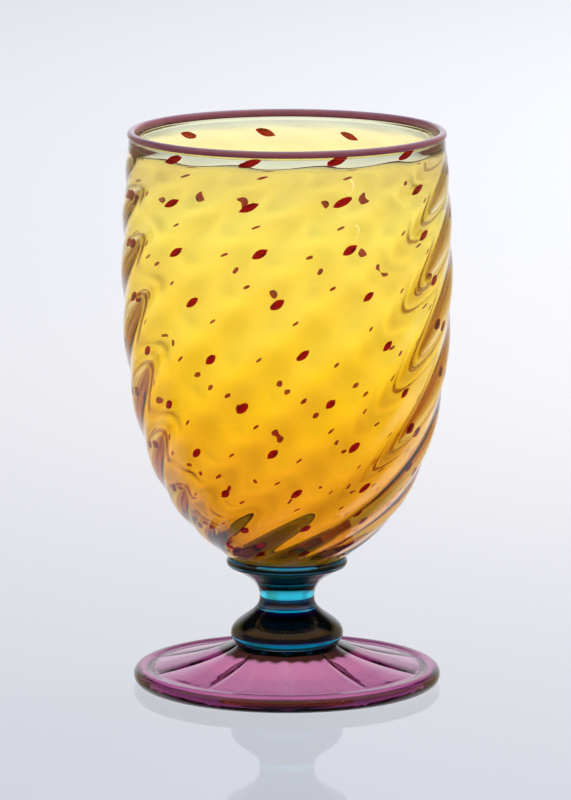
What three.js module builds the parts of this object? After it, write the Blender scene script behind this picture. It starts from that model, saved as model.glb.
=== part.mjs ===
// A hand-blown stemmed water goblet: a hollow foot, a solid spool stem, a bowl of two layers with a
// twist of optic ribs, and a glass thread melted round the lip.
// Millimetres, +Z up, the foot standing on z = 0 and the axis of the glass along z.

import * as THREE from 'three';

// Foot
const FOOT_RADIUS = 41.9;
const FOOT_HEIGHT = 12.2;
const FOOT_WALL = 3.2;
const FOOT_HOLLOW = 1; // height of the underside above the table, just inside the rim
const FOOT_RIM_WIDTH = 5.3;
const FOOT_RIM_HEIGHT = 4.7;
const FOOT_RIM_ROUND = 1.6;
const FOOT_RING_WIDTH = 1.7; // flat ring that stands on the table
const FOOT_PAD_MARGIN = 0.4; // flat top of the foot, left showing round the stem
const FOOT_SWEEP_OUT = 4.6; // how far the steep part of the top reaches out from the pad
const FOOT_SWEEP_RISE = 3.1; // how far the sweep's bend stays above the rim end
const FOOT_RIB_DEPTH = 0.35;

// Stem
const STEM_HEIGHT = 23;
const STEM_BASE_RADIUS = 13.6;
const STEM_KNOP_RADIUS = 15.4;
const STEM_KNOP_HEIGHT = 1.4; // widest level of the lower knop above the foot
const STEM_KNOP_SWELL = 4.7; // length of the pull that shapes knop and neck
const STEM_NECK_RADIUS = 7.5;
const STEM_NECK_HEIGHT = 11.5;
const STEM_FLANGE_RADIUS = 16.5;
const STEM_FLANGE_THICKNESS = 3.1;
const STEM_FLANGE_ROUND = 1.3;
const STEM_FLANGE_SLOPE = THREE.MathUtils.degToRad(32); // rise of the flange's underside
const STEM_FLANGE_PULL = 5; // length of the pull that shapes the underside

// Bowl
const BOWL_HEIGHT = 115;
const BOWL_SEAT_RADIUS = 16.2; // flat bottom that the stem is joined to
const BOWL_SEAT_RISE = THREE.MathUtils.degToRad(42); // rise of the wall as it leaves the seat
const BOWL_SEAT_PULL = 11.3; // length of the pull at the seat
const BOWL_BELLY_RADIUS = 44.5;
const BOWL_BELLY_HEIGHT = 78.8;
const BOWL_BELLY_PULL = 62; // length of the pull below the belly
const BOWL_LIP_DRAW = 1.9; // how far the mouth draws in from the belly
const BOWL_WALL = 2.2;
const BOWL_BASE_WALL = 5;
const BOWL_LIP_WALL = 3;
const BOWL_LIP_ROLL = 6; // length of wall that thickens towards the lip
const BOWL_FLOOR = 1.7; // casing under the lining
const BOWL_FLOOR_ROUND = 3; // reach of the bend from wall to floor
const LINING_WALL = 0.8;
const LINING_GAP = 0.3; // clearance between lining and casing beside the floor

// Optic ribs
const RIB_COUNT = 12;
const RIB_DEPTH = 0.45;
const RIB_START = THREE.MathUtils.degToRad(21); // a crest at the lip, turned from the front
const TWIST_RATE = THREE.MathUtils.degToRad(1.45); // turn for each millimetre, at its slackest
const TWIST_GAIN = THREE.MathUtils.degToRad(0.00038); // how the rate grows away from there
const TWIST_MIDDLE = 62; // length of wall from the seat to the slackest twist

// Lip wrap
const WRAP_RADIUS = 1;
const WRAP_SINK = 0.2; // how far the thread has melted down onto the lip
const WRAP_OVERHANG = 0.4; // how far it stands out past the wall

// Fineness
const COLUMNS = 4 * RIB_COUNT;
const WALL_ROWS = 14;
const CURVE_STEPS = 4;

const SEAT_LEVEL = FOOT_HEIGHT + STEM_HEIGHT;
const LIP_LEVEL = SEAT_LEVEL + BOWL_HEIGHT;
const LIP_RADIUS = BOWL_BELLY_RADIUS - BOWL_LIP_DRAW;

// A point of a turned outline: its twist, and how far an optic rib moves it out and up.
function station(r, z, { twist = 0, out = 0, up = 0 } = {}) {
  return { r, z, twist, out, up };
}

// A path's points as stations with no ribs.
function stations(path) {
  return path.getPoints(CURVE_STEPS).map((point) => station(point.x, point.y));
}

// A solid of revolution about z. Angles run from the front, -Y, towards +X.
function turned(outline) {
  const flat = outline.map((point) => new THREE.Vector2(point.r, point.z));
  const geometry = new THREE.LatheGeometry(flat, COLUMNS);
  const position = geometry.attributes.position;
  for (let index = 0; index < position.count; index += 1) {
    const point = outline[index % outline.length];
    const around = (2 * Math.PI * Math.floor(index / outline.length)) / COLUMNS;
    const rib = Math.cos(RIB_COUNT * around);
    const angle = RIB_START + around + point.twist;
    const r = point.r + point.out * rib;
    position.setXYZ(index, r * Math.sin(angle), -r * Math.cos(angle), point.z + point.up * rib);
  }
  geometry.computeVertexNormals();
  return geometry;
}

function piece(name, outline, color, roughness) {
  const material = new THREE.MeshStandardMaterial({ color, roughness, metalness: 0 });
  const mesh = new THREE.Mesh(turned(outline), material);
  mesh.name = name;
  return mesh;
}

// Foot: the sweep from pad to rim serves the top and, lowered by the wall, the underside.
function footSweep(drop) {
  const pad = STEM_BASE_RADIUS + FOOT_PAD_MARGIN;
  const endRadius = FOOT_RADIUS - FOOT_RIM_WIDTH;
  const endLevel = FOOT_HOLLOW + FOOT_WALL - drop;
  const sweep = new THREE.Path();
  sweep.moveTo(pad, FOOT_HEIGHT - drop);
  sweep.quadraticCurveTo(pad + FOOT_SWEEP_OUT, endLevel + FOOT_SWEEP_RISE, endRadius, endLevel);
  return sweep.getPoints(2 * CURVE_STEPS);
}

function footOutline() {
  const rimCentre = FOOT_RADIUS - FOOT_RIM_ROUND;
  const underside = footSweep(FOOT_WALL).map((point) => station(point.x, point.y));
  const rim = new THREE.Path();
  rim.moveTo(rimCentre - FOOT_RING_WIDTH, 0);
  rim.lineTo(rimCentre, 0);
  rim.absarc(rimCentre, FOOT_RIM_ROUND, FOOT_RIM_ROUND, -Math.PI / 2, 0, false);
  rim.absarc(rimCentre, FOOT_RIM_HEIGHT - FOOT_RIM_ROUND, FOOT_RIM_ROUND, 0, Math.PI / 2, false);
  const top = footSweep(0);
  const ribbedTop = top.map((point, index) => {
    const up = FOOT_RIB_DEPTH * Math.sin((Math.PI * index) / (top.length - 1));
    return station(point.x, point.y, { up });
  });
  return [
    station(0, FOOT_HEIGHT - FOOT_WALL),
    ...underside,
    ...stations(rim),
    ...ribbedTop.reverse(),
    station(0, FOOT_HEIGHT),
  ];
}

// Stem: lower knop, neck and flange in one solid spool, flat at both ends.
function stemOutline() {
  const knop = FOOT_HEIGHT + STEM_KNOP_HEIGHT;
  const neck = FOOT_HEIGHT + STEM_NECK_HEIGHT;
  const flangeLow = SEAT_LEVEL - STEM_FLANGE_THICKNESS;
  const flangeHigh = SEAT_LEVEL - STEM_FLANGE_ROUND;
  const rimStart = STEM_FLANGE_RADIUS - STEM_FLANGE_ROUND;
  const pullOut = STEM_FLANGE_PULL * Math.cos(STEM_FLANGE_SLOPE);
  const pullDown = STEM_FLANGE_PULL * Math.sin(STEM_FLANGE_SLOPE);
  const spool = new THREE.Path();
  spool.moveTo(0, FOOT_HEIGHT);
  spool.lineTo(STEM_BASE_RADIUS, FOOT_HEIGHT);
  spool.quadraticCurveTo(STEM_KNOP_RADIUS, FOOT_HEIGHT, STEM_KNOP_RADIUS, knop);
  spool.bezierCurveTo(
    STEM_KNOP_RADIUS, knop + STEM_KNOP_SWELL,
    STEM_NECK_RADIUS, neck - STEM_KNOP_SWELL,
    STEM_NECK_RADIUS, neck,
  );
  spool.bezierCurveTo(
    STEM_NECK_RADIUS, neck + STEM_KNOP_SWELL,
    rimStart - pullOut, flangeLow - pullDown,
    rimStart, flangeLow,
  );
  spool.quadraticCurveTo(STEM_FLANGE_RADIUS, flangeLow, STEM_FLANGE_RADIUS, flangeHigh);
  spool.quadraticCurveTo(STEM_FLANGE_RADIUS, SEAT_LEVEL, BOWL_SEAT_RADIUS, SEAT_LEVEL);
  spool.lineTo(0, SEAT_LEVEL);
  return stations(spool);
}

// Bowl: the outer wall without its ribs, from the seat to the lip.
function bowlWall() {
  const belly = SEAT_LEVEL + BOWL_BELLY_HEIGHT;
  const wall = new THREE.Path();
  wall.moveTo(BOWL_SEAT_RADIUS, SEAT_LEVEL);
  wall.bezierCurveTo(
    BOWL_SEAT_RADIUS + BOWL_SEAT_PULL * Math.cos(BOWL_SEAT_RISE),
    SEAT_LEVEL + BOWL_SEAT_PULL * Math.sin(BOWL_SEAT_RISE),
    BOWL_BELLY_RADIUS, belly - BOWL_BELLY_PULL,
    BOWL_BELLY_RADIUS, belly,
  );
  wall.quadraticCurveTo(BOWL_BELLY_RADIUS, (belly + LIP_LEVEL) / 2, LIP_RADIUS, LIP_LEVEL);
  return wall;
}

const WALL = bowlWall();
const WALL_LENGTH = WALL.getLength();
const WALL_SHARES = Array.from({ length: WALL_ROWS + 1 }, (_, row) => row / WALL_ROWS);

function thicknessAt(share) {
  const base = (BOWL_BASE_WALL - BOWL_WALL) * (1 - share) ** 4;
  const toLip = (1 - share) * WALL_LENGTH;
  const roll = (BOWL_LIP_WALL - BOWL_WALL) * Math.max(0, 1 - toLip / BOWL_LIP_ROLL);
  return BOWL_WALL + base + roll;
}

// Turn of the ribs at a length along the wall, counted from the lip.
function twistAt(share) {
  const turn = (arc) => TWIST_RATE * arc + (TWIST_GAIN * arc ** 3) / 3;
  return turn(share * WALL_LENGTH - TWIST_MIDDLE) - turn(WALL_LENGTH - TWIST_MIDDLE);
}

// The wall's surface at a share of its length, moved inwards. The lip is cut level.
function wallInside(share, depth) {
  const point = WALL.getPointAt(share);
  const along = share < 1 ? WALL.getTangentAt(share) : new THREE.Vector2(0, 1);
  return station(point.x - along.y * depth, point.y + along.x * depth);
}

// The same surface from lip to floor, and across a flat floor to the axis.
function insideOutline(depthAt, floorLevel) {
  const wall = WALL_SHARES.map((share) => wallInside(share, depthAt(share)));
  const foot = wall[0];
  const slope = WALL.getTangentAt(0);
  const bend = foot.r - ((foot.z - floorLevel) * slope.x) / slope.y;
  const floor = new THREE.Path();
  floor.moveTo(0, floorLevel);
  floor.lineTo(bend - BOWL_FLOOR_ROUND, floorLevel);
  floor.quadraticCurveTo(bend, floorLevel, foot.r, foot.z);
  return [...stations(floor).slice(0, -1), ...wall].reverse();
}

const CASING_FLOOR = SEAT_LEVEL + BOWL_FLOOR;

function casingOutline() {
  const outside = WALL_SHARES.map((share) => {
    const point = WALL.getPointAt(share);
    const out = RIB_DEPTH * Math.sqrt(Math.abs(Math.sin(Math.PI * share)));
    return station(point.x, point.y, { twist: twistAt(share), out });
  });
  const depthAt = (share) => thicknessAt(share) - LINING_WALL - LINING_GAP;
  return [station(0, SEAT_LEVEL), ...outside, ...insideOutline(depthAt, CASING_FLOOR)];
}

function liningOutline() {
  const outside = insideOutline((share) => thicknessAt(share) - LINING_WALL, CASING_FLOOR);
  return [...outside.reverse(), ...insideOutline(thicknessAt, CASING_FLOOR + LINING_WALL)];
}

// Lip wrap: a round thread, flattened where it lies on the lip.
function wrapOutline() {
  const centreRadius = LIP_RADIUS - WRAP_RADIUS + WRAP_OVERHANG;
  const centreLevel = LIP_LEVEL + WRAP_RADIUS - WRAP_SINK;
  const seatAngle = Math.asin((WRAP_RADIUS - WRAP_SINK) / WRAP_RADIUS);
  const thread = new THREE.Path();
  thread.absarc(centreRadius, centreLevel, WRAP_RADIUS, -seatAngle, Math.PI + seatAngle, false);
  thread.closePath();
  return stations(thread);
}

const goblet = new THREE.Group();
goblet.add(
  piece('foot', footOutline(), '#b8789a', 0.08),
  piece('stem', stemOutline(), '#1583a3', 0.06),
  piece('bowl_casing', casingOutline(), '#f4efe2', 0.05),
  piece('bowl_lining', liningOutline(), '#f2bd2c', 0.05),
  piece('lip_wrap', wrapOutline(), '#7f4f55', 0.12),
);

export default goblet;
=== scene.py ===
"""Stemmed water goblet of hand-blown glass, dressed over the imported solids.

Lengths are in metres. Z is up along the axis of the glass, and the photo was taken from -Y.
Angles round the axis are counted from -Y and grow towards +X.
"""

import bisect
import math
import random
from collections import namedtuple

import bpy
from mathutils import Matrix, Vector


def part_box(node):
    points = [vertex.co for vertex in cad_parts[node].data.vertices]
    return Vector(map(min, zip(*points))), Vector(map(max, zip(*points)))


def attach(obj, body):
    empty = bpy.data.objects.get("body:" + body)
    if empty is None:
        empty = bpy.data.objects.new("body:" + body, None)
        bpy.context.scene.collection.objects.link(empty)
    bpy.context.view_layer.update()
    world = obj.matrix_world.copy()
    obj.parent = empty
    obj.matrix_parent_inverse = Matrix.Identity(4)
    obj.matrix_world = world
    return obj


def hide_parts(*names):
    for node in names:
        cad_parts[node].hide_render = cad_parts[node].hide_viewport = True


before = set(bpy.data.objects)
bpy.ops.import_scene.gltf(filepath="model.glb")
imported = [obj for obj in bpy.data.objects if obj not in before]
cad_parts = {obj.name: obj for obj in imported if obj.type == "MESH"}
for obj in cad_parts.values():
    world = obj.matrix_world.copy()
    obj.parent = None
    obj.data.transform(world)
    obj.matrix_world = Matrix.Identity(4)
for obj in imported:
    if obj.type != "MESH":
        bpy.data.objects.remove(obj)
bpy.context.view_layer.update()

MM = 0.001

# Levels that the solids give
SEAT_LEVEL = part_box("bowl_casing")[0].z
LIP_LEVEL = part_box("bowl_casing")[1].z
PAD_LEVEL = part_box("stem")[0].z
WRAP_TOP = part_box("lip_wrap")[1].z

# Foot
FOOT_RADIUS = 41.9 * MM
FOOT_WALL = 2.3 * MM
FOOT_HOLLOW = 1.9 * MM
FOOT_RIM_WIDTH = 5.3 * MM
FOOT_RIM_HEIGHT = 4.7 * MM
FOOT_RIM_ROUND = 2.3 * MM
FOOT_RIM_PULL = 1.6 * MM
FOOT_RING_WIDTH = 1.7 * MM
FOOT_PAD_RADIUS = 14.0 * MM
FOOT_SWEEP_OUT = 4.6 * MM
FOOT_SWEEP_RISE = 3.1 * MM
FOOT_RIB_COUNT = 10
FOOT_RIB_DEPTH = 0.58 * MM
FOOT_RIB_ROUNDNESS = 0.2
FOOT_RIB_START = math.radians(18)
FOOT_RIM_RIB_SHARE = 0.12
FOOT_SEAM_SINK = 1.0 * MM

# Stem
STEM_BASE_RADIUS = 14.0 * MM
STEM_KNOP_BEVEL = 1.1 * MM
STEM_BEVEL_INSET = 0.2 * MM
STEM_KNOP_RADIUS = 15.4 * MM
STEM_KNOP_HEIGHT = 1.4 * MM
STEM_KNOP_SWELL = 4.7 * MM
STEM_NECK_RADIUS = 7.5 * MM
STEM_NECK_HEIGHT = 11.5 * MM
STEM_FLANGE_RADIUS = 16.5 * MM
STEM_FLANGE_THICKNESS = 3.1 * MM
STEM_FLANGE_SLOPE = math.radians(32)
STEM_FLANGE_PULL = 5.0 * MM

# Bowl wall
BOWL_SEAT_RADIUS = 16.2 * MM
BOWL_SEAT_RISE = math.radians(42)
BOWL_SEAT_PULL = 11.3 * MM
BOWL_BELLY_RADIUS = 44.5 * MM
BOWL_BELLY_HEIGHT = 78.8 * MM
BOWL_BELLY_PULL = 62.0 * MM
BOWL_LIP_RADIUS = 42.6 * MM
BOWL_WALL = 1.5 * MM
BOWL_BASE_WALL = 3.0 * MM
BOWL_BASE_FALL = 4
BOWL_LIP_WALL = 3.1 * MM
BOWL_LIP_ROLL = 3.6 * MM
BOWL_LIP_ROLL_POWER = 1.3
BOWL_LIP_ROUND = 0.2 * MM
BOWL_FLOOR = 2.5 * MM
BOWL_FLOOR_PULL = 5.0 * MM
LINING_AT_LIP = 0.22 * MM
LINING_AT_FLOOR = 0.95 * MM
LINING_THINNING = 0.85
LAYER_GAP = 0.04 * MM

# Optic ribs of the mould, twisted along the bowl
RIB_COUNT = 12
RIB_DEPTH = 0.45 * MM
RIB_ROUNDNESS = 2.0
RIB_START = math.radians(21)
INNER_RIB_SHARE = -0.15
RIB_FADE = 0.03
RIB_VALLEY_ROUND = 0.0008
TWIST_RATE = math.radians(1.45) / MM
TWIST_GAIN = math.radians(0.00038) / MM**3
TWIST_MIDDLE = 62.0 * MM

# Thread wound round the lip
WRAP_RADIUS = 1.12 * MM
WRAP_CENTRE_RADIUS = 42.0 * MM
THREAD_STREAKS = (160.0, 160.0, 700.0)
THREAD_WAVES = (120.0, 120.0, 300.0)
THREAD_RIPPLE = 0.02 * MM
THREAD_ROUGHNESS = 0.08
THREAD_CLEARNESS = 0.25

# Red thread wound down the bowl, broken into one spot at each rib
SPIRAL_MIDDLE = 101.6 * MM
SPIRAL_REACH = 71.8 * MM
SPIRAL_RATE = 0.195
SPIRAL_TURNS = 3.7
SPIRAL_TILT = 0.9 * MM
SPOT_SEED = 7
SPOT_FIRST_RIB = -1
SPOT_MOST = 200
SPOT_LOWEST = 39.0 * MM
SPOT_FROM_SEAT = 5.0 * MM
SPOT_FROM_LIP = 1.0 * MM
SPOT_JITTER = 0.35 * MM
SPOT_SINK = 0.3 * MM
SPOT_THICKNESS = 0.24 * MM
SPOT_LENGTH = 3.7 * MM
SPOT_LENGTH_SPREAD = (0.90, 1.14)
SPOT_WIDTH = 2.1 * MM
SPOT_WIDTH_SPREAD = (0.88, 1.12)
SPOT_PATCHES = (900.0, 900.0, 900.0)
SPOT_LOOK_AHEAD = 0.5 * MM

# Spots near the lip are longer and lean over, by powers of the share of the wall
SPOT_LIP_LENGTH = 3.0 * MM
SPOT_LIP_LENGTH_POWER = 4
SPOT_LIP_LEAN = 0.5
SPOT_LIP_LEAN_POWER = 6

# Forms of a spot: how pointed it is, how much more so at its upper end, and the place of a lobe beside it
LEAF_FORMS = (
    (0.35, 0.0, (0.45, 0, -0.55)),
    (0.55, 0.25, (-0.5, 0, 0.3)),
    (0.15, -0.1, None),
    (0.5, -0.3, (0.5, 0, 0.35)),
)
LEAF_CHOICE = (0, 0, 1, 2, 3)
LOBE_SIZE = (0.34, 0.6, 0.4)
LOBE_TILT = 0.5

# The light that one face of a spot lets through, and the share of the face that does
SPOT_LETS_THROUGH = (0.63, 0.05, 0.04)
SPOT_CLEARNESS = 0.75

# Glass, with the waves that the tools leave in its surface as waves per metre along each axis
GLASS_IOR = 1.5
BROAD_WAVES = (90.0, 90.0, 55.0)
FINE_WAVES = (420.0, 420.0, 260.0)
FINE_WAVE_SHARE = 0.18

# Floor
FLOOR_HALF = 8.0
FLOOR_TONE = (0.82, 0.82, 0.82)
FLOOR_GLOSS = 0.52
FLOOR_GLOSS_ROUGHNESS = 0.04
FLOOR_IOR = 1.45

# Camera of the photo
CAMERA_PLACE = (-0.4 * MM, -1800 * MM, 400.8 * MM)
CAMERA_DIP = math.radians(10.166)
CAMERA_LENS = 303.3
CAMERA_SENSOR = 36
CAMERA_REACH = 20

# Points round the axis, and rows along the bowl
RIB_COLUMNS = 288
FOOT_COLUMNS = 480
STEM_COLUMNS = 144
WRAP_COLUMNS = 288
OUTER_ROWS = 160
INNER_ROWS = 150
SEAM_ROWS = 60

# Ring of points inside a flat joint, as a share of the joint's radius
JOINT_RING_SHARE = 0.6


# Node trees


class Link:
    """One output of a node. Sums and products of links add the nodes that work them out."""

    def __init__(self, graph, socket):
        self.graph = graph
        self.socket = socket

    def other(self, name):
        """Another output of the same node."""
        return Link(self.graph, self.socket.node.outputs[name])

    def maths(self, operation, *others):
        """A Math node with this link as its first term."""
        return self.graph.maths(operation, self, *others)

    def __add__(self, other):
        return self.maths("ADD", other)

    def __radd__(self, other):
        return self.maths("ADD", other)

    def __sub__(self, other):
        return self.maths("SUBTRACT", other)

    def __rsub__(self, other):
        return self.graph.maths("SUBTRACT", other, self)

    def __mul__(self, other):
        return self.maths("MULTIPLY", other)

    def __rmul__(self, other):
        return self.maths("MULTIPLY", other)

    def __pow__(self, other):
        return self.maths("POWER", other)


class Graph:
    """A node tree that grows by one call for each node."""

    def __init__(self, tree):
        self.tree = tree

    def node(self, kind, settings=None, sockets=None):
        """Adds a node: its settings first, then the values or links of its sockets."""
        made = self.tree.nodes.new(kind)
        for key, value in (settings or {}).items():
            if key == "stops":
                set_stops(made.color_ramp, value)
            else:
                setattr(made, key, value)
        for key, value in (sockets or {}).items():
            socket = find_socket(made, key)
            if isinstance(value, Link):
                self.tree.links.new(value.socket, socket)
            else:
                socket.default_value = value
        outputs = [output for output in made.outputs if output.enabled]
        return Link(self, outputs[0]) if outputs else None

    def maths(self, operation, *terms):
        return self.node("ShaderNodeMath", {"operation": operation}, dict(enumerate(terms)))


def find_socket(node, key):
    """An input by its place, or the first one in use that has the name."""
    if isinstance(key, int):
        return node.inputs[key]
    return next(socket for socket in node.inputs if socket.enabled and socket.name == key)


def set_stops(ramp, stops):
    """Gives a colour ramp its stops, from pairs of place and colour."""
    while len(ramp.elements) > 1:
        ramp.elements.remove(ramp.elements[-1])
    for i, (place, colour) in enumerate(stops):
        stop = ramp.elements[0] if i == 0 else ramp.elements.new(place)
        stop.position = place
        stop.color = (*colour, 1.0)


def multiplied(graph, colour, tone, share=1.0):
    """A colour multiplied by another one, or by a share of it."""
    return graph.node(
        "ShaderNodeMix",
        {"data_type": "RGBA", "blend_type": "MULTIPLY"},
        {"Factor": share, "A": colour, "B": tone},
    )


def mixed(graph, share, first, second):
    """A colour between two others."""
    return graph.node("ShaderNodeMix", {"data_type": "RGBA"}, {"Factor": share, "A": first, "B": second})


# Materials


def material_graph(name):
    material = bpy.data.materials.new(name)
    material.use_nodes = True
    material.node_tree.nodes.clear()
    return material, Graph(material.node_tree)


def stretched_noise(graph, place, scale, detail):
    """Noise with its own scale along each axis, as features per metre."""
    spread = graph.node("ShaderNodeMapping", {"vector_type": "POINT"}, {"Vector": place, "Scale": scale})
    return graph.node("ShaderNodeTexNoise", {}, {"Vector": spread, "Scale": 1.0, "Detail": detail})


def glass(name, tints, streak_tone, streaks, ripple, melted=None, absorbs=None, scallops=None, shade_film=None):
    """Clear or coloured glass with no optical edge where the mesh's joint attribute marks a face that
    is melted to the next layer.

    tints gives its colour at some heights, with the painted shade that some callers put into it,
    streak_tone the colour that its streaks add, streaks how many there are in a metre along each axis,
    and ripple the height of the waves in its surface.
    melted gives the colours of the melted faces at the lowest and the highest of the heights, absorbs
    what a metre of the glass takes from each colour, and scallops the count and the height of the waves
    that the edges between its tints make round the axis. haze gives the colour and the share of a dark
    film of painted shade in the melted faces, and the height from which they have it."""
    material, graph = material_graph(name)
    place = graph.node("ShaderNodeTexCoord").other("Object")
    level = graph.node("ShaderNodeSeparateXYZ", {}, {0: place}).other("Z")
    low, high = tints[0][0], tints[-1][0]
    stops = [((height - low) / (high - low), colour) for height, colour in tints]
    if scallops:
        count, rise = scallops
        gradient = graph.node("ShaderNodeTexGradient", {"gradient_type": "RADIAL"}, {"Vector": place})
        turns = gradient.other("Fac")
        level = level + rise * (turns * (2 * math.pi * count)).maths("SINE")
    climb = (level - low) * (1 / (high - low))
    ramp = graph.node("ShaderNodeValToRGB", {"stops": stops}, {0: climb})
    tint = multiplied(graph, ramp, (*streak_tone, 1), stretched_noise(graph, place, streaks, 2.0))
    broad = stretched_noise(graph, place, BROAD_WAVES, 1.0)
    fine = stretched_noise(graph, place, FINE_WAVES, 1.0)
    height = broad + FINE_WAVE_SHARE * fine
    bump = graph.node("ShaderNodeBump", {}, {"Strength": 1.0, "Distance": ripple, "Height": height})
    body = graph.node(
        "ShaderNodeBsdfPrincipled",
        {},
        {"Base Color": tint, "Roughness": 0.0, "IOR": GLASS_IOR, "Transmission Weight": 1.0, "Normal": bump},
    )
    if melted:
        deep, pale = [
            graph.node("ShaderNodeBsdfTransparent", {}, {"Color": (*colour, 1)}) for colour in melted
        ]
        face = graph.node("ShaderNodeMixShader", {}, {0: climb, 1: deep, 2: pale})
    else:
        face = graph.node("ShaderNodeBsdfTransparent")
    # Painted shade: a dark diffuse film in the melted faces above a given height
    if shade_film:
        colour, share, start = shade_film
        film = graph.node("ShaderNodeBsdfDiffuse", {}, {"Color": (*colour, 1)})
        shaded_share = share * level.maths("GREATER_THAN", start)
        face = graph.node("ShaderNodeMixShader", {}, {0: shaded_share, 1: face, 2: film})
    joint = graph.node("ShaderNodeAttribute", {"attribute_name": "joint"}).other("Fac")
    surface = graph.node("ShaderNodeMixShader", {}, {0: joint, 1: body, 2: face})
    ends = {"Surface": surface}
    if absorbs:
        most = max(absorbs)
        left = tuple(1 - share / most for share in absorbs)
        ends["Volume"] = graph.node(
            "ShaderNodeVolumeAbsorption", {}, {"Color": (*left, 1), "Density": most}
        )
    graph.node("ShaderNodeOutputMaterial", {}, ends)
    return material


def thread_glass(name):
    """Dense mauve glass of the lip thread, with a painted highlight that makes it paler towards its top,
    painted shade that darkens its lower side, and streaks along it.
    """
    material, graph = material_graph(name)
    place = graph.node("ShaderNodeTexCoord").other("Object")
    level = graph.node("ShaderNodeSeparateXYZ", {}, {0: place}).other("Z")
    climb = (level - LIP_LEVEL) * (1 / (WRAP_TOP - LIP_LEVEL))
    # Painted highlight and shade: the colour climbs from dark at the lower side of the thread to pale at its
    # top
    stops = [
        (0.0, (0.23, 0.055, 0.080)),
        (0.5, (0.39, 0.112, 0.140)),
        (0.8, (0.50, 0.20, 0.25)),
        (1.0, (0.80, 0.62, 0.72)),
    ]
    ramp = graph.node("ShaderNodeValToRGB", {"stops": stops}, {0: climb})
    streak = stretched_noise(graph, place, THREAD_STREAKS, 2.0)
    colour = multiplied(graph, ramp, (0.80, 0.72, 0.78, 1), streak)
    wave = stretched_noise(graph, place, THREAD_WAVES, 1.0)
    bump = graph.node("ShaderNodeBump", {}, {"Strength": 1.0, "Distance": THREAD_RIPPLE, "Height": wave})
    body = graph.node(
        "ShaderNodeBsdfPrincipled",
        {},
        {
            "Base Color": colour,
            "Roughness": THREAD_ROUGHNESS,
            "IOR": GLASS_IOR,
            "Transmission Weight": THREAD_CLEARNESS,
            "Normal": bump,
        },
    )
    graph.node("ShaderNodeOutputMaterial", {}, {"Surface": body})
    return material


def spot_glass(name):
    """Dense red glass that lets some light through, darker in patches, with painted shade that makes its
    inner side browner.
    """
    material, graph = material_graph(name)
    place = graph.node("ShaderNodeTexCoord").other("Object")
    patch = stretched_noise(graph, place, SPOT_PATCHES, 2.0)
    stops = [(0.3, (0.86, 0.004, 0.002)), (0.7, (0.96, 0.006, 0.003))]
    face = graph.node("ShaderNodeValToRGB", {"stops": stops}, {0: patch})
    # Painted shade: the inner side of each spot, which faces into the bowl, is given a browner red
    shaded_back = graph.node("ShaderNodeAttribute", {"attribute_name": "shaded_back"}).other("Fac")
    colour = mixed(graph, shaded_back, face, (0.92, 0.030, 0.014, 1))
    body = graph.node(
        "ShaderNodeBsdfPrincipled",
        {},
        {"Base Color": colour, "Roughness": 0.6, "Specular IOR Level": 0.0},
    )
    through = graph.node("ShaderNodeBsdfTransparent", {}, {"Color": (*SPOT_LETS_THROUGH, 1)})
    surface = graph.node("ShaderNodeMixShader", {}, {0: SPOT_CLEARNESS, 1: body, 2: through})
    graph.node("ShaderNodeOutputMaterial", {}, {"Surface": surface})
    return material


def floor_sheet(name):
    """Pale sheet with a faint gloss that shows at low angles."""
    material, graph = material_graph(name)
    matt = graph.node("ShaderNodeBsdfDiffuse", {}, {"Color": (*FLOOR_TONE, 1)})
    gloss = graph.node(
        "ShaderNodeBsdfGlossy", {}, {"Color": (1, 1, 1, 1), "Roughness": FLOOR_GLOSS_ROUGHNESS}
    )
    share = FLOOR_GLOSS * graph.node("ShaderNodeFresnel", {}, {"IOR": FLOOR_IOR})
    surface = graph.node("ShaderNodeMixShader", {}, {0: share, 1: matt, 2: gloss})
    graph.node("ShaderNodeOutputMaterial", {}, {"Surface": surface})
    return material


clear_glass = glass(
    "clear_glass",
    [(35 * MM, (0.99, 0.99, 0.985)), (150 * MM, (0.98, 0.99, 0.97))],
    streak_tone=(0.97, 0.975, 0.97),
    streaks=(60.0, 60.0, 25.0),
    ripple=0.010 * MM,
    absorbs=(84.0, 87.0, 70.0),
)


def film_tints(levels, melted):
    """Base colours at some heights that, with the melted face, let the given light through a wall."""
    deep, pale = [Vector(colour) for colour in melted]
    low, high = levels[0][0], levels[-1][0]
    tints = []
    for height, through in levels:
        face = deep.lerp(pale, (height - low) / (high - low))
        tints.append((height, tuple(min(share / part, 1.0) ** 2 for share, part in zip(through, face))))
    return tints


AMBER_MELTED = ((0.97, 0.70, 0.12), (0.99, 0.95, 0.82))
AMBER_THROUGH_WALL = [
    (37 * MM, (0.93, 0.56, 0.06)),
    (53 * MM, (0.94, 0.60, 0.085)),
    (76 * MM, (0.99, 0.72, 0.035)),
    (101 * MM, (0.98, 0.83, 0.23)),
    (115 * MM, (0.98, 0.82, 0.26)),
    (128 * MM, (1.0, 0.91, 0.355)),
    (143 * MM, (0.88, 0.76, 0.37)),
    (146.4 * MM, (0.90, 0.81, 0.45)),
    (148.2 * MM, (0.89, 0.92, 0.66)),
    (150.4 * MM, (0.92, 0.95, 0.74)),
]
amber_glass = glass(
    "amber_glass",
    film_tints(AMBER_THROUGH_WALL, AMBER_MELTED),
    streak_tone=(0.99, 0.97, 0.93),
    streaks=(110.0, 110.0, 35.0),
    ripple=0.008 * MM,
    melted=AMBER_MELTED,
)
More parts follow.
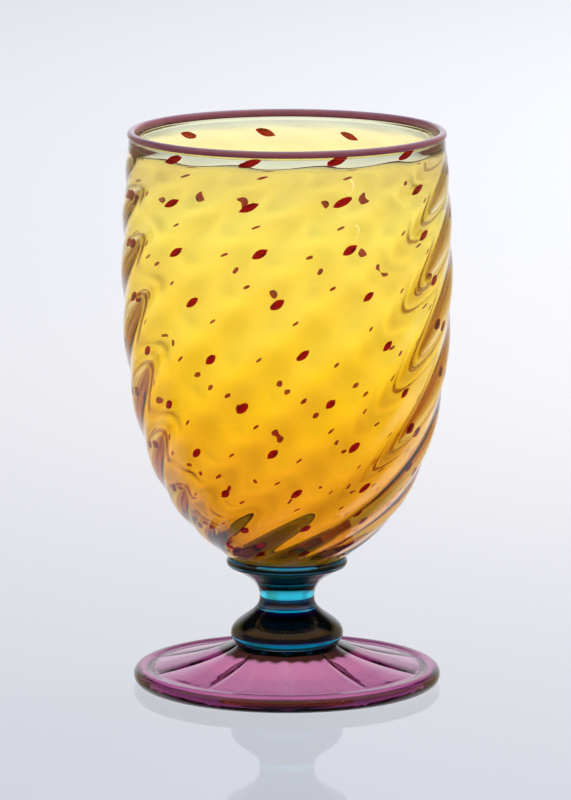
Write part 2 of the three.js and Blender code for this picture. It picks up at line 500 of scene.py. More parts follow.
teal_glass = glass(
    "teal_glass",
    [
        (11.2 * MM, (1.0, 1.0, 1.0)),
        (14.2 * MM, (1.0, 1.0, 1.0)),
        # Painted shade: the knop is tinted near black, for the dark that shows through it
        (15.2 * MM, (0.04, 0.02, 0.006)),
        (19.4 * MM, (0.04, 0.02, 0.006)),
        (21.0 * MM, (1.0, 1.0, 1.0)),
        (26.6 * MM, (1.0, 1.0, 1.0)),
        # Painted shade: a dark red band that darkens the top of the neck and the underside of the flange
        (28.4 * MM, (0.60, 0.15, 0.10)),
        (31.2 * MM, (0.60, 0.15, 0.10)),
        (32.0 * MM, (1.0, 1.0, 1.0)),
        # Painted shade: the flange is dimmed towards its top
        (33.0 * MM, (0.95, 0.85, 0.80)),
        (35.2 * MM, (0.75, 0.65, 0.60)),
    ],
    streak_tone=(0.92, 0.97, 0.98),
    streaks=(120.0, 120.0, 260.0),
    ripple=0.13 * MM,
    absorbs=(262.0, 65.0, 42.0),
    # Painted shade: a dark olive film in the melted faces at the top of the stem dims the light that comes
    # down from the bowl
    shade_film=((0.25, 0.27, 0.15), 0.75, 25 * MM),
)
mauve_glass = glass(
    "mauve_glass",
    [
        (0.0, (0.46, 0.25, 0.37)),
        (3.8 * MM, (0.44, 0.24, 0.37)),
        (4.9 * MM, (0.61, 0.32, 0.43)),
        (8.8 * MM, (0.60, 0.31, 0.42)),
        # Painted shade: a near-black ring round the foot of the stem, its edge scalloped, for the dark stem
        # seen through the foot
        (9.3 * MM, (0.006, 0.002, 0.0006)),
        (11.2 * MM, (0.004, 0.0012, 0.0004)),
    ],
    streak_tone=(0.96, 0.92, 0.95),
    streaks=(120.0, 120.0, 120.0),
    ripple=0.06 * MM,
    absorbs=(60.0, 172.0, 72.0),
    scallops=(28, 0.13 * MM),
)
lip_glass = thread_glass("lip_glass")
spot_red = spot_glass("spot_red")


# Outlines in the plane of radius and height


def curve(points, steps):
    """Points on the Bezier curve of 3 or 4 control points, ends included."""
    made = []
    for i in range(steps + 1):
        level = [Vector(point) for point in points]
        while len(level) > 1:
            level = [a.lerp(b, i / steps) for a, b in zip(level, level[1:])]
        made.append(level[0])
    return made


def arc(centre, radius, start, end, steps):
    """Points on a circle from one angle to another, in degrees from the outward direction."""
    made = []
    for i in range(steps + 1):
        angle = math.radians(start + (end - start) * i / steps)
        made.append(Vector(centre) + radius * Vector((math.cos(angle), math.sin(angle))))
    return made


def joined(*stretches):
    """One line from several, without repeating the points where they meet."""
    line = []
    for stretch in stretches:
        for point in stretch:
            point = Vector(point)
            if not line or (point - line[-1]).length > 1e-7:
                line.append(point)
    return line


class Outline:
    """A line that can be asked for its place and its outward direction at any length along it."""

    def __init__(self, line):
        self.line = line
        self.reached = [0.0]
        for a, b in zip(line, line[1:]):
            self.reached.append(self.reached[-1] + (b - a).length)
        self.length = self.reached[-1]

    def at(self, distance):
        after = min(max(bisect.bisect_right(self.reached, distance), 1), len(self.line) - 1)
        start, end = self.reached[after - 1], self.reached[after]
        return self.line[after - 1].lerp(self.line[after], (distance - start) / (end - start))

    def outward(self, distance):
        step = self.length / 500
        along = self.at(min(distance + step, self.length)) - self.at(max(distance - step, 0))
        return Vector((along.y, -along.x)).normalized()


# A row of points round the axis: its place, the way a rib pushes it, the length along the wall that
# sets its twist, and 1 if the faces up to the next row are melted to the next layer
Row = namedtuple("Row", "place push distance joint", defaults=(Vector((0, 0)), 0.0, 0.0))


def plain_rows(line, joint=0.0):
    return [Row(point, joint=joint) for point in line]


def sunk(rows, depth_of, joint):
    """Rows moved to the right of the way they run, by a depth for each row."""
    made = []
    for i, row in enumerate(rows):
        along = rows[min(i + 1, len(rows) - 1)].place - rows[max(i - 1, 0)].place
        side = Vector((along.y, -along.x)).normalized()
        if i == 0:
            side = Vector((0, -1))
        place = row.place + side * depth_of(row)
        made.append(Row(place, row.push, row.distance, joint))
    return made


def turned(name, rows, columns, ring=False):
    """A closed mesh turned round the axis, with the rows' values on its points and faces.

    A row on the axis becomes one point. With ring, the last row joins the first."""
    points, faces, joints = [], [], []
    around, distances, pushes = [], [], []
    starts = []
    for row in rows:
        on_axis = row.place.x < 1e-9
        starts.append((len(points), on_axis))
        for i in range(1 if on_axis else columns):
            angle = 2 * math.pi * i / columns
            across, front = math.sin(angle), -math.cos(angle)
            points.append((row.place.x * across, row.place.x * front, row.place.y))
            pushes.append((row.push.x * across, row.push.x * front, row.push.y))
            around.append(angle)
            distances.append(row.distance)
    pairs = list(zip(range(len(rows)), range(1, len(rows))))
    if ring:
        pairs.append((len(rows) - 1, 0))
    for low, high in pairs:
        low_start, low_pole = starts[low]
        high_start, high_pole = starts[high]
        for i in range(columns):
            j = (i + 1) % columns
            face = [low_start] if low_pole else [low_start + i, low_start + j]
            face += [high_start] if high_pole else [high_start + j, high_start + i]
            faces.append(face)
            joints.append(rows[low].joint)
    mesh = bpy.data.meshes.new(name)
    mesh.from_pydata(points, [], faces)
    for polygon in mesh.polygons:
        polygon.use_smooth = True
    for label, kind, domain, values in (
        ("around", "FLOAT", "POINT", around),
        ("distance", "FLOAT", "POINT", distances),
        ("joint", "FLOAT", "FACE", joints),
    ):
        mesh.attributes.new(label, kind, domain).data.foreach_set("value", values)
    flat_pushes = [part for push in pushes for part in push]
    mesh.attributes.new("push", "FLOAT_VECTOR", "POINT").data.foreach_set("vector", flat_pushes)
    return mesh


# Geometry trees


def geometry_graph(name, sockets):
    """A geometry tree with named inputs, each given as a name and a socket type."""
    tree = bpy.data.node_groups.new(name, "GeometryNodeTree")
    tree.interface.new_socket("Geometry", in_out="INPUT", socket_type="NodeSocketGeometry")
    for label, kind in sockets:
        tree.interface.new_socket(label, in_out="INPUT", socket_type=kind)
    tree.interface.new_socket("Geometry", in_out="OUTPUT", socket_type="NodeSocketGeometry")
    graph = Graph(tree)
    return graph, graph.node("NodeGroupInput")


def finish_tree(graph, geometry, material):
    """Ends a tree in real geometry with its material."""
    real = graph.node("GeometryNodeRealizeInstances", {}, {"Geometry": geometry})
    dressed = graph.node("GeometryNodeSetMaterial", {}, {"Geometry": real, "Material": material})
    graph.node("NodeGroupOutput", {}, {"Geometry": dressed})


def named(graph, label, kind="FLOAT"):
    return graph.node("GeometryNodeInputNamedAttribute", {"data_type": kind}, {"Name": label})


def vector_maths(graph, operation, **sockets):
    names = {"a": 0, "b": 1, "scale": "Scale"}
    terms = {names[key]: value for key, value in sockets.items()}
    return graph.node("ShaderNodeVectorMath", {"operation": operation}, terms)


def optic_rib_tree():
    """Pushes a turned mesh out along ribs that run round the axis as they climb."""
    graph, start = geometry_graph(
        "optic_ribs",
        [
            ("Rib count", "NodeSocketFloat"),
            ("Rib depth", "NodeSocketFloat"),
            ("Rib roundness", "NodeSocketFloat"),
            ("Rib start", "NodeSocketFloat"),
            ("Twist rate", "NodeSocketFloat"),
            ("Twist gain", "NodeSocketFloat"),
            ("Twist middle", "NodeSocketFloat"),
            ("Wall length", "NodeSocketFloat"),
            ("Material", "NodeSocketMaterial"),
        ],
    )
    around = named(graph, "around")
    half_turn = around * start.other("Rib count") * 0.5
    across = half_turn.maths("COSINE")
    swell = (across * across + RIB_VALLEY_ROUND) * (1 / (1 + RIB_VALLEY_ROUND))
    wave = 2 * swell ** (start.other("Rib roundness") * 0.5) - 1
    push = vector_maths(
        graph, "SCALE", a=named(graph, "push", "FLOAT_VECTOR"), scale=wave * start.other("Rib depth")
    )
    place = vector_maths(graph, "ADD", a=graph.node("GeometryNodeInputPosition"), b=push)
    rate = start.other("Twist rate")
    gain = start.other("Twist gain") * (1 / 3)

    def turn(reach):
        return rate * reach + gain * reach**3

    low = named(graph, "distance") - start.other("Twist middle")
    high = start.other("Wall length") - start.other("Twist middle")
    angle = turn(low) - turn(high) + start.other("Rib start")
    twisted = graph.node(
        "ShaderNodeVectorRotate", {"rotation_type": "Z_AXIS"}, {"Vector": place, "Angle": angle}
    )
    moved = graph.node(
        "GeometryNodeSetPosition", {}, {"Geometry": start.other("Geometry"), "Position": twisted}
    )
    finish_tree(graph, moved, start.other("Material"))
    return graph.tree


def leaf_shape(graph, pointed, tail, lobe):
    """A small closed lens with pointed ends, unit sized, its length along Z, with a lobe beside it."""
    ball = graph.node("GeometryNodeMeshUVSphere", {}, {"Segments": 8, "Rings": 7, "Radius": 1.0})
    place = graph.node("GeometryNodeInputPosition")
    height = graph.node("ShaderNodeSeparateXYZ", {}, {0: place}).other("Z")
    inside = (1 - height * height).maths("MAXIMUM", 1e-6)
    thin = inside ** (pointed + tail * height)
    width = graph.node("ShaderNodeCombineXYZ", {}, {0: thin, 1: thin, 2: 1.0})
    shaped = vector_maths(graph, "MULTIPLY", a=place, b=width)
    leaf = graph.node("GeometryNodeSetPosition", {}, {"Geometry": ball, "Position": shaped})
    if lobe:
        bead = graph.node("GeometryNodeMeshUVSphere", {}, {"Segments": 6, "Rings": 4, "Radius": 1.0})
        beside = graph.node(
            "GeometryNodeTransform",
            {},
            {"Geometry": bead, "Translation": lobe, "Rotation": (0, LOBE_TILT, 0), "Scale": LOBE_SIZE},
        )
        both = graph.node("GeometryNodeJoinGeometry", {}, {"Geometry": leaf})
        graph.tree.links.new(beside.socket, both.socket.node.inputs[0])
        leaf = both
    smooth = graph.node("GeometryNodeSetShadeSmooth", {}, {"Geometry": leaf})
    depth = graph.node("ShaderNodeSeparateXYZ", {}, {0: place}).other("Y")
    # Marks the half of the leaf that faces into the bowl, where the spot material paints shade
    shaded_back = depth.maths("LESS_THAN", 0.0)
    marked = graph.node(
        "GeometryNodeStoreNamedAttribute",
        {"data_type": "FLOAT", "domain": "FACE"},
        {"Geometry": smooth, "Name": "shaded_back", "Value": shaded_back},
    )
    return graph.node("GeometryNodeGeometryToInstance", {}, {0: marked})


def spot_tree():
    """Sets one leaf-shaped spot on each point, along the point's own directions."""
    graph, start = geometry_graph(
        "thread_spots",
        [("Thickness", "NodeSocketFloat"), ("Material", "NodeSocketMaterial")],
    )
    leaves = graph.node("GeometryNodeJoinGeometry")
    for pointed, tail, lobe in LEAF_FORMS:
        shape = leaf_shape(graph, pointed, tail, lobe)
        graph.tree.links.new(shape.socket, leaves.socket.node.inputs[0])
    turn = graph.node(
        "FunctionNodeAxesToRotation",
        {"primary_axis": "Z", "secondary_axis": "Y"},
        {0: named(graph, "along", "FLOAT_VECTOR"), 1: named(graph, "outward", "FLOAT_VECTOR")},
    )
    half = named(graph, "half_size", "FLOAT_VECTOR")
    split = graph.node("ShaderNodeSeparateXYZ", {}, {0: half})
    size = graph.node(
        "ShaderNodeCombineXYZ",
        {},
        {0: split.other("X"), 1: start.other("Thickness") * 0.5, 2: split.other("Z")},
    )
    spots = graph.node(
        "GeometryNodeInstanceOnPoints",
        {},
        {
            "Points": start.other("Geometry"),
            "Instance": leaves,
            "Pick Instance": True,
            "Instance Index": named(graph, "leaf", "INT"),
            "Rotation": turn,
            "Scale": size,
        },
    )
    finish_tree(graph, spots, start.other("Material"))
    return graph.tree


def grown(name, mesh, tree, values):
    """The plain mesh that a tree makes of another mesh, with the tree's inputs set by name."""
    base = bpy.data.objects.new(name + "_base", mesh)
    bpy.context.scene.collection.objects.link(base)
    modifier = base.modifiers.new(tree.name, "NODES")
    modifier.node_group = tree
    for item in tree.interface.items_tree:
        if item.in_out == "INPUT" and item.name in values:
            modifier[item.identifier] = values[item.name]
    depsgraph = bpy.context.evaluated_depsgraph_get()
    result = bpy.data.meshes.new_from_object(base.evaluated_get(depsgraph))
    base.modifiers.clear()
    bpy.data.objects.remove(base)
    result.name = name
    return result


def placed(name, mesh, material=None):
    """A finished piece at the origin."""
    piece = bpy.data.objects.new(name, mesh)
    bpy.context.scene.collection.objects.link(piece)
    if material:
        mesh.materials.clear()
        mesh.materials.append(material)
    return piece


# Bowl


def rib_window(share):
    """How much of a rib shows at a share of the wall: none at the seat and the lip."""
    end = min((1 - share) / RIB_FADE, 1.0)
    return math.sqrt(max(math.sin(math.pi * share), 0.0)) * end**2 * (3 - 2 * end)


def wall_thickness(distance):
    """Casing and lining together: thicker at the base, and rolled at the lip."""
    share = distance / wall.length
    to_lip = wall.length - distance
    base = (BOWL_BASE_WALL - BOWL_WALL) * (1 - share) ** BOWL_BASE_FALL
    roll = max(0.0, 1 - to_lip / BOWL_LIP_ROLL)
    lip = (BOWL_LIP_WALL - BOWL_WALL) * roll**BOWL_LIP_ROLL_POWER
    return BOWL_WALL + base + lip


def lining_thickness(row):
    """The amber thins out towards the lip as the bowl is blown."""
    share = row.distance / wall.length
    return LINING_AT_FLOOR + (LINING_AT_LIP - LINING_AT_FLOOR) * share**LINING_THINNING


def outer_rows(count):
    """The outside of the bowl, from the seat to the lip."""
    rows = []
    for i in range(count + 1):
        distance = wall.length * i / count
        outward = wall.outward(distance)
        rows.append(Row(wall.at(distance), outward * rib_window(i / count), distance))
    return rows


def inner_rows(count):
    """The inside of the bowl, from the middle of the floor to the edge of the lip thread."""
    rows = []
    end = wall.length - BOWL_LIP_ROUND
    for i in range(count + 1):
        distance = end * i / count
        outward = wall.outward(distance)
        place = wall.at(distance) - outward * wall_thickness(distance)
        push = outward * rib_window(distance / wall.length) * INNER_RIB_SHARE
        rows.append(Row(place, push, distance))
    floor_level = SEAT_LEVEL + BOWL_FLOOR
    corner = rows[0].place
    down = (rows[0].place - rows[1].place).normalized() * BOWL_FLOOR_PULL
    floor_line = curve([(0, floor_level), (BOWL_FLOOR_PULL, floor_level), corner + down, corner], 14)
    lip_corner = Vector((BOWL_LIP_RADIUS - BOWL_LIP_WALL, LIP_LEVEL))
    lip_line = curve([rows[-1].place, lip_corner, lip_corner + Vector((BOWL_LIP_ROUND, 0))], 8)
    lip_line.append(Vector((WRAP_INNER_EDGE, LIP_LEVEL)))
    floor_rows = plain_rows(floor_line[:-1])
    lip_rows = [Row(point, distance=wall.length) for point in lip_line[1:]]
    return floor_rows + rows + lip_rows


def twist_at(distance):
    """Angle of a rib crest at a length along the wall, against its angle at the lip."""

    def turn(reach):
        return TWIST_RATE * reach + TWIST_GAIN * reach**3 / 3

    return turn(distance - TWIST_MIDDLE) - turn(wall.length - TWIST_MIDDLE)


stem_top = SEAT_LEVEL - LAYER_GAP
STEM_FLANGE_ROUND = STEM_FLANGE_THICKNESS / 2
SEAT_JOINT_RADIUS = STEM_FLANGE_RADIUS - STEM_FLANGE_ROUND
BELLY_LEVEL = SEAT_LEVEL + BOWL_BELLY_HEIGHT
WRAP_HALF_FLAT = math.sqrt(WRAP_RADIUS**2 - (WRAP_TOP - WRAP_RADIUS - LIP_LEVEL) ** 2)
WRAP_INNER_EDGE = WRAP_CENTRE_RADIUS - WRAP_HALF_FLAT

seat_pull = BOWL_SEAT_PULL * Vector((math.cos(BOWL_SEAT_RISE), math.sin(BOWL_SEAT_RISE)))
seat = Vector((BOWL_SEAT_RADIUS, SEAT_LEVEL))
belly = Vector((BOWL_BELLY_RADIUS, BELLY_LEVEL))
wall = Outline(
    joined(
        curve([seat, seat + seat_pull, belly - Vector((0, BOWL_BELLY_PULL)), belly], 200),
        curve([belly, (BOWL_BELLY_RADIUS, (BELLY_LEVEL + LIP_LEVEL) / 2), (BOWL_LIP_RADIUS, LIP_LEVEL)], 60),
    )
)

ribs = optic_rib_tree()
bowl_twist = {
    "Rib count": float(RIB_COUNT),
    "Rib depth": RIB_DEPTH,
    "Rib roundness": RIB_ROUNDNESS,
    "Rib start": RIB_START,
    "Twist rate": TWIST_RATE,
    "Twist gain": TWIST_GAIN,
    "Twist middle": TWIST_MIDDLE,
    "Wall length": wall.length,
}

casing_rows = plain_rows([Vector((0, SEAT_LEVEL))], 1.0)
casing_rows += plain_rows([Vector((SEAT_JOINT_RADIUS, SEAT_LEVEL))])
casing_rows += outer_rows(OUTER_ROWS)
casing_rows[-1] = casing_rows[-1]._replace(joint=1.0)
casing_inside = sunk(inner_rows(SEAM_ROWS), lambda row: lining_thickness(row) + LAYER_GAP, 1.0)
casing_rows += reversed(casing_inside)
casing_mesh = grown(
    "bowl_casing_glass",
    turned("casing_turned", casing_rows, RIB_COLUMNS),
    ribs,
    {**bowl_twist, "Material": clear_glass},
)
casing = placed("bowl_casing_glass", casing_mesh)

lining_rows = sunk(inner_rows(SEAM_ROWS), lining_thickness, 1.0)
lining_rows += reversed(inner_rows(INNER_ROWS))
lining_mesh = grown(
    "bowl_lining_glass",
    turned("lining_turned", lining_rows, RIB_COLUMNS),
    ribs,
    {**bowl_twist, "Material": amber_glass},
)
lining = placed("bowl_lining_glass", lining_mesh)


# Red spots


def spiral_level(angle):
    """Height of the wound thread at an angle that counts on past full turns, in radians."""
    turns = SPIRAL_TURNS + angle / (2 * math.pi)
    tilt = SPIRAL_TILT * (1 - math.cos(angle))
    return SPIRAL_MIDDLE + SPIRAL_REACH * math.sin(SPIRAL_RATE * turns) + tilt


def distance_at_level(level):
    """The length along the wall at which it reaches a height."""
    low, high = 0.0, wall.length
    for _ in range(40):
        middle = (low + high) / 2
        if wall.at(middle).y < level:
            low = middle
        else:
            high = middle
    return low


def rib_place(angle, distance, sink):
    """A point under the outer surface at an angle and a length along the wall."""
    crest = RIB_DEPTH * rib_window(distance / wall.length)
    flat = wall.at(distance) + wall.outward(distance) * (crest - sink)
    return Vector((flat.x * math.sin(angle), -flat.x * math.cos(angle), flat.y))


def spot_mesh():
    """One point for each spot, with its directions, half size and leaf."""
    draw = random.Random(SPOT_SEED)
    points, along, outward, half_size, leaf = [], [], [], [], []
    for i in range(SPOT_FIRST_RIB, SPOT_MOST):
        crest = RIB_START - i * 2 * math.pi / RIB_COUNT
        # Closes in on the place where the thread crosses the twisted rib
        angle = crest
        for _ in range(30):
            distance = distance_at_level(spiral_level(angle))
            angle = crest + twist_at(distance)
        if spiral_level(angle) < SPOT_LOWEST:
            break
        jitter = draw.gauss(0, SPOT_JITTER)
        distance = min(max(distance + jitter, SPOT_FROM_SEAT), wall.length - SPOT_FROM_LIP)
        angle = crest + twist_at(distance)
        here = rib_place(angle, distance, SPOT_SINK)
        onward = distance + SPOT_LOOK_AHEAD
        ahead = rib_place(crest + twist_at(onward), onward, SPOT_SINK)
        out = wall.outward(distance)
        share = distance / wall.length
        length = SPOT_LENGTH + SPOT_LIP_LENGTH * share**SPOT_LIP_LENGTH_POWER
        length *= draw.uniform(*SPOT_LENGTH_SPREAD)
        width = SPOT_WIDTH * draw.uniform(*SPOT_WIDTH_SPREAD)
        points.append(here)
        level = Vector((math.cos(angle), math.sin(angle), 0))
        lean = level * SPOT_LIP_LEAN * share**SPOT_LIP_LEAN_POWER
        along.append(((ahead - here).normalized() + lean).normalized())
        outward.append(Vector((out.x * math.sin(angle), -out.x * math.cos(angle), out.y)))
        half_size.append(Vector((width / 2, 0, length / 2)))
        leaf.append(draw.choice(LEAF_CHOICE))
    mesh = bpy.data.meshes.new("spot_points")
    mesh.from_pydata(points, [], [])
    for label, values in (("along", along), ("outward", outward), ("half_size", half_size)):
        flat = [part for value in values for part in value]
        mesh.attributes.new(label, "FLOAT_VECTOR", "POINT").data.foreach_set("vector", flat)
    mesh.attributes.new("leaf", "INT", "POINT").data.foreach_set("value", leaf)
    return mesh


spots_mesh = grown(
    "red_spots",
    spot_mesh(),
    spot_tree(),
    {"Thickness": SPOT_THICKNESS, "Material": spot_red},
)
spots = placed("red_spots", spots_mesh)


# Lip thread


wrap_centre = Vector((WRAP_CENTRE_RADIUS, WRAP_TOP - WRAP_RADIUS))
wrap_low = math.degrees(math.asin((LIP_LEVEL - wrap_centre.y) / WRAP_RADIUS))
wrap_line = arc(wrap_centre, WRAP_RADIUS, wrap_low, 180 - wrap_low, 28)
wrap_rows = plain_rows(wrap_line)
wrap_rows[-1] = wrap_rows[-1]._replace(joint=1.0)
wrap_mesh = turned("lip_wrap_glass", wrap_rows, WRAP_COLUMNS, ring=True)
wrap = placed("lip_wrap_glass", wrap_mesh, lip_glass)


# Stem


seam_level = PAD_LEVEL - FOOT_SEAM_SINK
stem_base = seam_level + LAYER_GAP
knop_level = PAD_LEVEL + STEM_KNOP_HEIGHT
neck_level = PAD_LEVEL + STEM_NECK_HEIGHT
flange_level = stem_top - STEM_FLANGE_THICKNESS
flange_edge = Vector((SEAT_JOINT_RADIUS, flange_level))
flange_pull = STEM_FLANGE_PULL * Vector((math.cos(STEM_FLANGE_SLOPE), math.sin(STEM_FLANGE_SLOPE)))
stem_side = joined(
    curve(
        [
            (STEM_BASE_RADIUS, stem_base),
            (STEM_KNOP_RADIUS - STEM_BEVEL_INSET, stem_base + STEM_KNOP_BEVEL),
            (STEM_KNOP_RADIUS, knop_level),
        ],
        10,
    ),
    curve(
        [
            (STEM_KNOP_RADIUS, knop_level),
            (STEM_KNOP_RADIUS, knop_level + STEM_KNOP_SWELL),
            (STEM_NECK_RADIUS, neck_level - STEM_KNOP_SWELL),
            (STEM_NECK_RADIUS, neck_level),
        ],
        30,
    ),
    curve(
        [
            (STEM_NECK_RADIUS, neck_level),
            (STEM_NECK_RADIUS, neck_level + STEM_KNOP_SWELL),
            flange_edge - flange_pull,
            flange_edge,
        ],
        30,
    ),
    arc((SEAT_JOINT_RADIUS, stem_top - STEM_FLANGE_ROUND), STEM_FLANGE_ROUND, -90, 90, 16),
)
base_ring = Vector((STEM_BASE_RADIUS * JOINT_RING_SHARE, stem_base))
stem_rows = plain_rows([Vector((0, stem_base)), base_ring], 1.0)
stem_rows += plain_rows(stem_side)
stem_rows[-1] = stem_rows[-1]._replace(joint=1.0)
top_ring = Vector((SEAT_JOINT_RADIUS * JOINT_RING_SHARE, stem_top))
stem_rows += plain_rows([top_ring, Vector((0, stem_top))], 1.0)
stem = placed("stem_glass", turned("stem_glass", stem_rows, STEM_COLUMNS), teal_glass)


# Foot


rim_start = FOOT_RADIUS - FOOT_RIM_WIDTH
sweep_end = Vector((rim_start, FOOT_HOLLOW + FOOT_WALL))
sweep = curve(
    [
        (FOOT_PAD_RADIUS, seam_level),
        (FOOT_PAD_RADIUS + FOOT_SWEEP_OUT, sweep_end.y + FOOT_SWEEP_RISE),
        sweep_end,
    ],
    40,
)
ring_outer = FOOT_RADIUS - FOOT_RIM_ROUND
ring_inner = ring_outer - FOOT_RING_WIDTH
rim_top = Vector((ring_outer, FOOT_RIM_HEIGHT))
rim_pull = Vector((FOOT_RIM_PULL, 0))
pad_ring = Vector((FOOT_PAD_RADIUS * JOINT_RING_SHARE, seam_level))
underside = [Vector((0, seam_level - FOOT_WALL)), pad_ring - Vector((0, FOOT_WALL))]
underside += [point - Vector((0, FOOT_WALL)) for point in sweep]
rim = joined(
    [(ring_inner, 0), (ring_outer, 0)],
    arc((ring_outer, FOOT_RIM_ROUND), FOOT_RIM_ROUND, -90, 0, 10),
    arc((ring_outer, FOOT_RIM_HEIGHT - FOOT_RIM_ROUND), FOOT_RIM_ROUND, 0, 90, 10),
    curve([rim_top, rim_top - rim_pull, sweep_end + rim_pull, sweep_end], 12),
)
top_rows = []
for i, point in enumerate(reversed(sweep)):
    share = i / (len(sweep) - 1)
    reach = max(rib_window(share), FOOT_RIM_RIB_SHARE * (1 - share))
    top_rows.append(Row(point, Vector((0, reach))))
rim_rows = []
for point in rim[:-1]:
    share = 0.0
    if point.y > FOOT_RIM_ROUND:
        share = min(max((rim_top.x - point.x) / (rim_top.x - rim_start), 0.0), 1.0)
    rim_rows.append(Row(point, Vector((0, FOOT_RIM_RIB_SHARE * share))))
foot_rows = plain_rows(underside) + rim_rows + top_rows
foot_rows[-1] = foot_rows[-1]._replace(joint=1.0)
foot_rows += plain_rows([pad_ring, Vector((0, seam_level))], 1.0)
foot_mesh = grown(
    "foot_glass",
    turned("foot_turned", foot_rows, FOOT_COLUMNS),
    ribs,
    {
        "Rib count": float(FOOT_RIB_COUNT),
        "Rib depth": FOOT_RIB_DEPTH,
        "Rib roundness": FOOT_RIB_ROUNDNESS,
        "Rib start": FOOT_RIB_START,
        "Twist rate": 0.0,
        "Twist gain": 0.0,
        "Twist middle": 0.0,
        "Wall length": 0.0,
        "Material": mauve_glass,
    },
)
foot = placed("foot_glass", foot_mesh)


# Stage, light and camera


def floor_mesh(half):
    mesh = bpy.data.meshes.new("floor")
    corners = [(-half, -half, 0), (half, -half, 0), (half, half, 0), (-half, half, 0)]
    mesh.from_pydata(corners, [], [(0, 1, 2, 3)])
    return mesh


def soft_box(name, place, aim, size, power, colour):
    """A rectangular lamp that faces a point and does not show in the glass."""
    lamp = bpy.data.lights.new(name, "AREA")
    lamp.shape = "RECTANGLE"
    lamp.size, lamp.size_y = size
    lamp.energy = power
    lamp.color = colour
    holder = bpy.data.objects.new(name, lamp)
    holder.location = place
    holder.rotation_euler = (Vector(aim) - Vector(place)).to_track_quat("-Z", "Y").to_euler()
    holder.visible_glossy = False
    holder.visible_transmission = False
    bpy.context.scene.collection.objects.link(holder)
    return holder


def direction_ramp(graph, part, stops):
    """Colours by one part of a direction, from -1 to 1."""
    places = [(place * 0.5 + 0.5, colour) for place, colour in stops]
    return graph.node("ShaderNodeValToRGB", {"stops": places}, {0: part * 0.5 + 0.5})


def studio_world():
    """A studio with a bright field behind the glass and a dim room in front.

    Light that comes through the glass sees the bright field, a little darker where a flag stands at
    each side. Light that the glass or the floor mirrors sees a pale sweep behind, with warmer sides
    above the table, and in front a dim room under a warm ceiling. Everything else sees the soft light
    of the room."""
    world = bpy.data.worlds.new("studio")
    world.use_nodes = True
    world.node_tree.nodes.clear()
    graph = Graph(world.node_tree)
    way = graph.node("ShaderNodeTexCoord")
    split = graph.node("ShaderNodeSeparateXYZ", {}, {0: way})
    across = split.other("X")
    behind = split.other("Y")
    height = split.other("Z")
    room = direction_ramp(
        graph,
        height,
        [
            (0.0, (0.72, 0.77, 0.88)),
            (0.1, (0.66, 0.71, 0.83)),
            (0.3, (0.29, 0.34, 0.45)),
            (1.0, (0.20, 0.25, 0.36)),
        ],
    )
    field = direction_ramp(
        graph,
        height,
        [
            (-1.0, (0.60, 0.60, 0.63)),
            (-0.6, (0.82, 0.82, 0.85)),
            (-0.38, (1.34, 1.34, 1.33)),
            (-0.165, (1.55, 1.54, 1.51)),
            (-0.05, (1.53, 1.53, 1.51)),
            (0.05, (1.32, 1.32, 1.33)),
            (0.2, (1.06, 1.07, 1.09)),
            (0.45, (0.64, 0.64, 0.66)),
            (0.8, (0.36, 0.36, 0.38)),
        ],
    )
    flag = direction_ramp(
        graph,
        across,
        [
            (-0.58, (0.9, 0.9, 0.9)),
            (-0.52, (0.66, 0.64, 0.67)),
            (-0.44, (0.66, 0.64, 0.67)),
            (-0.36, (0.9, 0.9, 0.9)),
            (0.16, (0.9, 0.9, 0.9)),
            (0.32, (0.74, 0.66, 0.50)),
            (0.52, (0.70, 0.61, 0.50)),
            (0.62, (0.95, 0.95, 0.95)),
        ],
    )
    field = multiplied(graph, field, flag)
    front = direction_ramp(
        graph,
        height,
        [
            (-0.6, (0.10, 0.09, 0.07)),
            (0.0, (0.20, 0.17, 0.13)),
            (0.25, (0.16, 0.13, 0.09)),
            (0.5, (1.15, 0.68, 0.32)),
            (1.0, (1.1, 0.70, 0.36)),
        ],
    )
    sweep = direction_ramp(
        graph,
        height,
        [
            (0.0, (0.84, 0.85, 0.89)),
            (0.3, (0.88, 0.89, 0.94)),
            (0.5, (0.05, 0.05, 0.06)),
            (0.9, (0.0, 0.0, 0.0)),
        ],
    )
    sides = direction_ramp(
        graph,
        across,
        [
            (-0.55, (0.66, 0.52, 0.28)),
            (-0.3, (1.0, 1.0, 1.0)),
            (0.3, (1.0, 1.0, 1.0)),
            (0.55, (0.66, 0.52, 0.28)),
        ],
    )
    above_table = direction_ramp(graph, height, [(-0.42, (0, 0, 0)), (-0.26, (1, 1, 1))])
    sweep = multiplied(graph, sweep, sides, above_table)
    is_behind = graph.node(
        "ShaderNodeValToRGB", {"stops": [(0.1, (0, 0, 0)), (0.4, (1, 1, 1))]}, {0: behind}
    )
    mirrored = mixed(graph, is_behind, front, sweep)
    path = graph.node("ShaderNodeLightPath")
    colour = mixed(graph, path.other("Is Glossy Ray"), room, mirrored)
    colour = mixed(graph, path.other("Is Transmission Ray"), colour, field)
    light = graph.node("ShaderNodeBackground", {}, {"Color": colour, "Strength": 1.0})
    graph.node("ShaderNodeOutputWorld", {}, {"Surface": light})
    return world


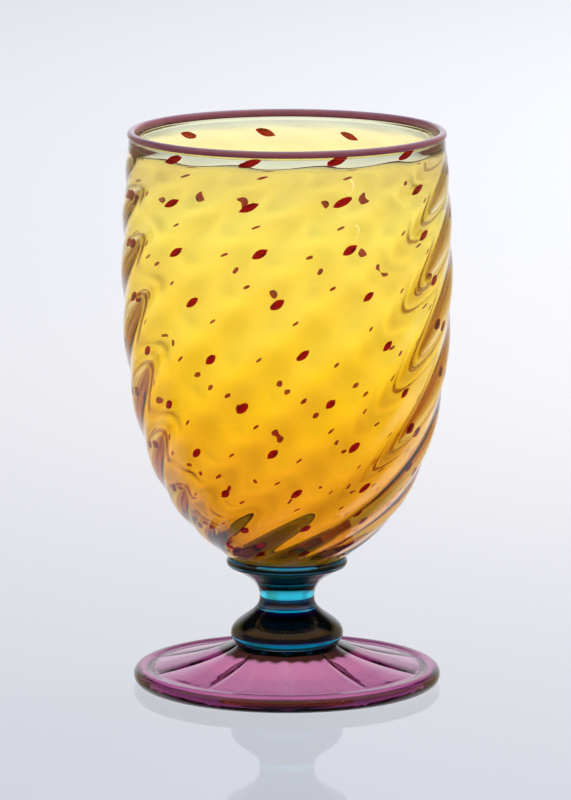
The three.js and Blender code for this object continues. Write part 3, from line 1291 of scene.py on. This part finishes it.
scene = bpy.context.scene
scene.world = studio_world()
scene.view_settings.view_transform = "Standard"
scene.cycles.max_bounces = 32
scene.cycles.transmission_bounces = 32
scene.cycles.glossy_bounces = 12
scene.cycles.transparent_max_bounces = 64
scene.cycles.caustics_refractive = False
scene.cycles.caustics_reflective = False

# The floor does not show in the glass or through it
floor = placed("floor", floor_mesh(FLOOR_HALF), floor_sheet("floor_sheet"))
floor.visible_glossy = False
floor.visible_transmission = False

soft_box(
    "overhead",
    place=(1.0, 1.05, 1.6),
    aim=(1.0, 1.05, 0),
    size=(1.2, 1.0),
    power=40,
    colour=(1.0, 0.97, 0.92),
)
soft_box(
    "fill",
    place=(0.1, -2.1, 0.8),
    aim=(0, 0, 0.1),
    size=(0.7, 0.7),
    power=7.5,
    colour=(1.0, 0.98, 0.96),
)
soft_box(
    "table",
    place=(0.1, 0.42, 0.45),
    aim=(0.1, 0.42, 0),
    size=(0.3, 0.3),
    power=0.3,
    colour=(1.0, 0.68, 0.42),
)
# A narrow strip that does show, as the thin glint along the glass
glint = soft_box(
    "glint",
    place=(0.85, -0.95, 0.42),
    aim=(0, 0, 0.09),
    size=(0.03, 0.3),
    power=0.1,
    colour=(1, 1, 1),
)
glint.visible_glossy = True

camera = bpy.data.objects.new("camera", bpy.data.cameras.new("camera"))
camera.location = CAMERA_PLACE
camera.rotation_euler = (math.pi / 2 - CAMERA_DIP, 0, 0)
camera.data.sensor_width = CAMERA_SENSOR
camera.data.lens = CAMERA_LENS
camera.data.clip_end = CAMERA_REACH
scene.collection.objects.link(camera)
scene.camera = camera

# The glass casts no shadow and throws no colour on the floor
for piece in (casing, lining, wrap, stem, foot):
    piece.visible_shadow = False
    piece.visible_diffuse = False

for piece, node, finish in (
    (casing, "bowl_casing", "clear_glass"),
    (lining, "bowl_lining", "amber_glass"),
    (wrap, "lip_wrap", "lip_glass"),
    (stem, "stem", "teal_glass"),
    (foot, "foot", "mauve_glass"),
):
    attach(piece, "root")
    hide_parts(node)
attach(spots, "root")
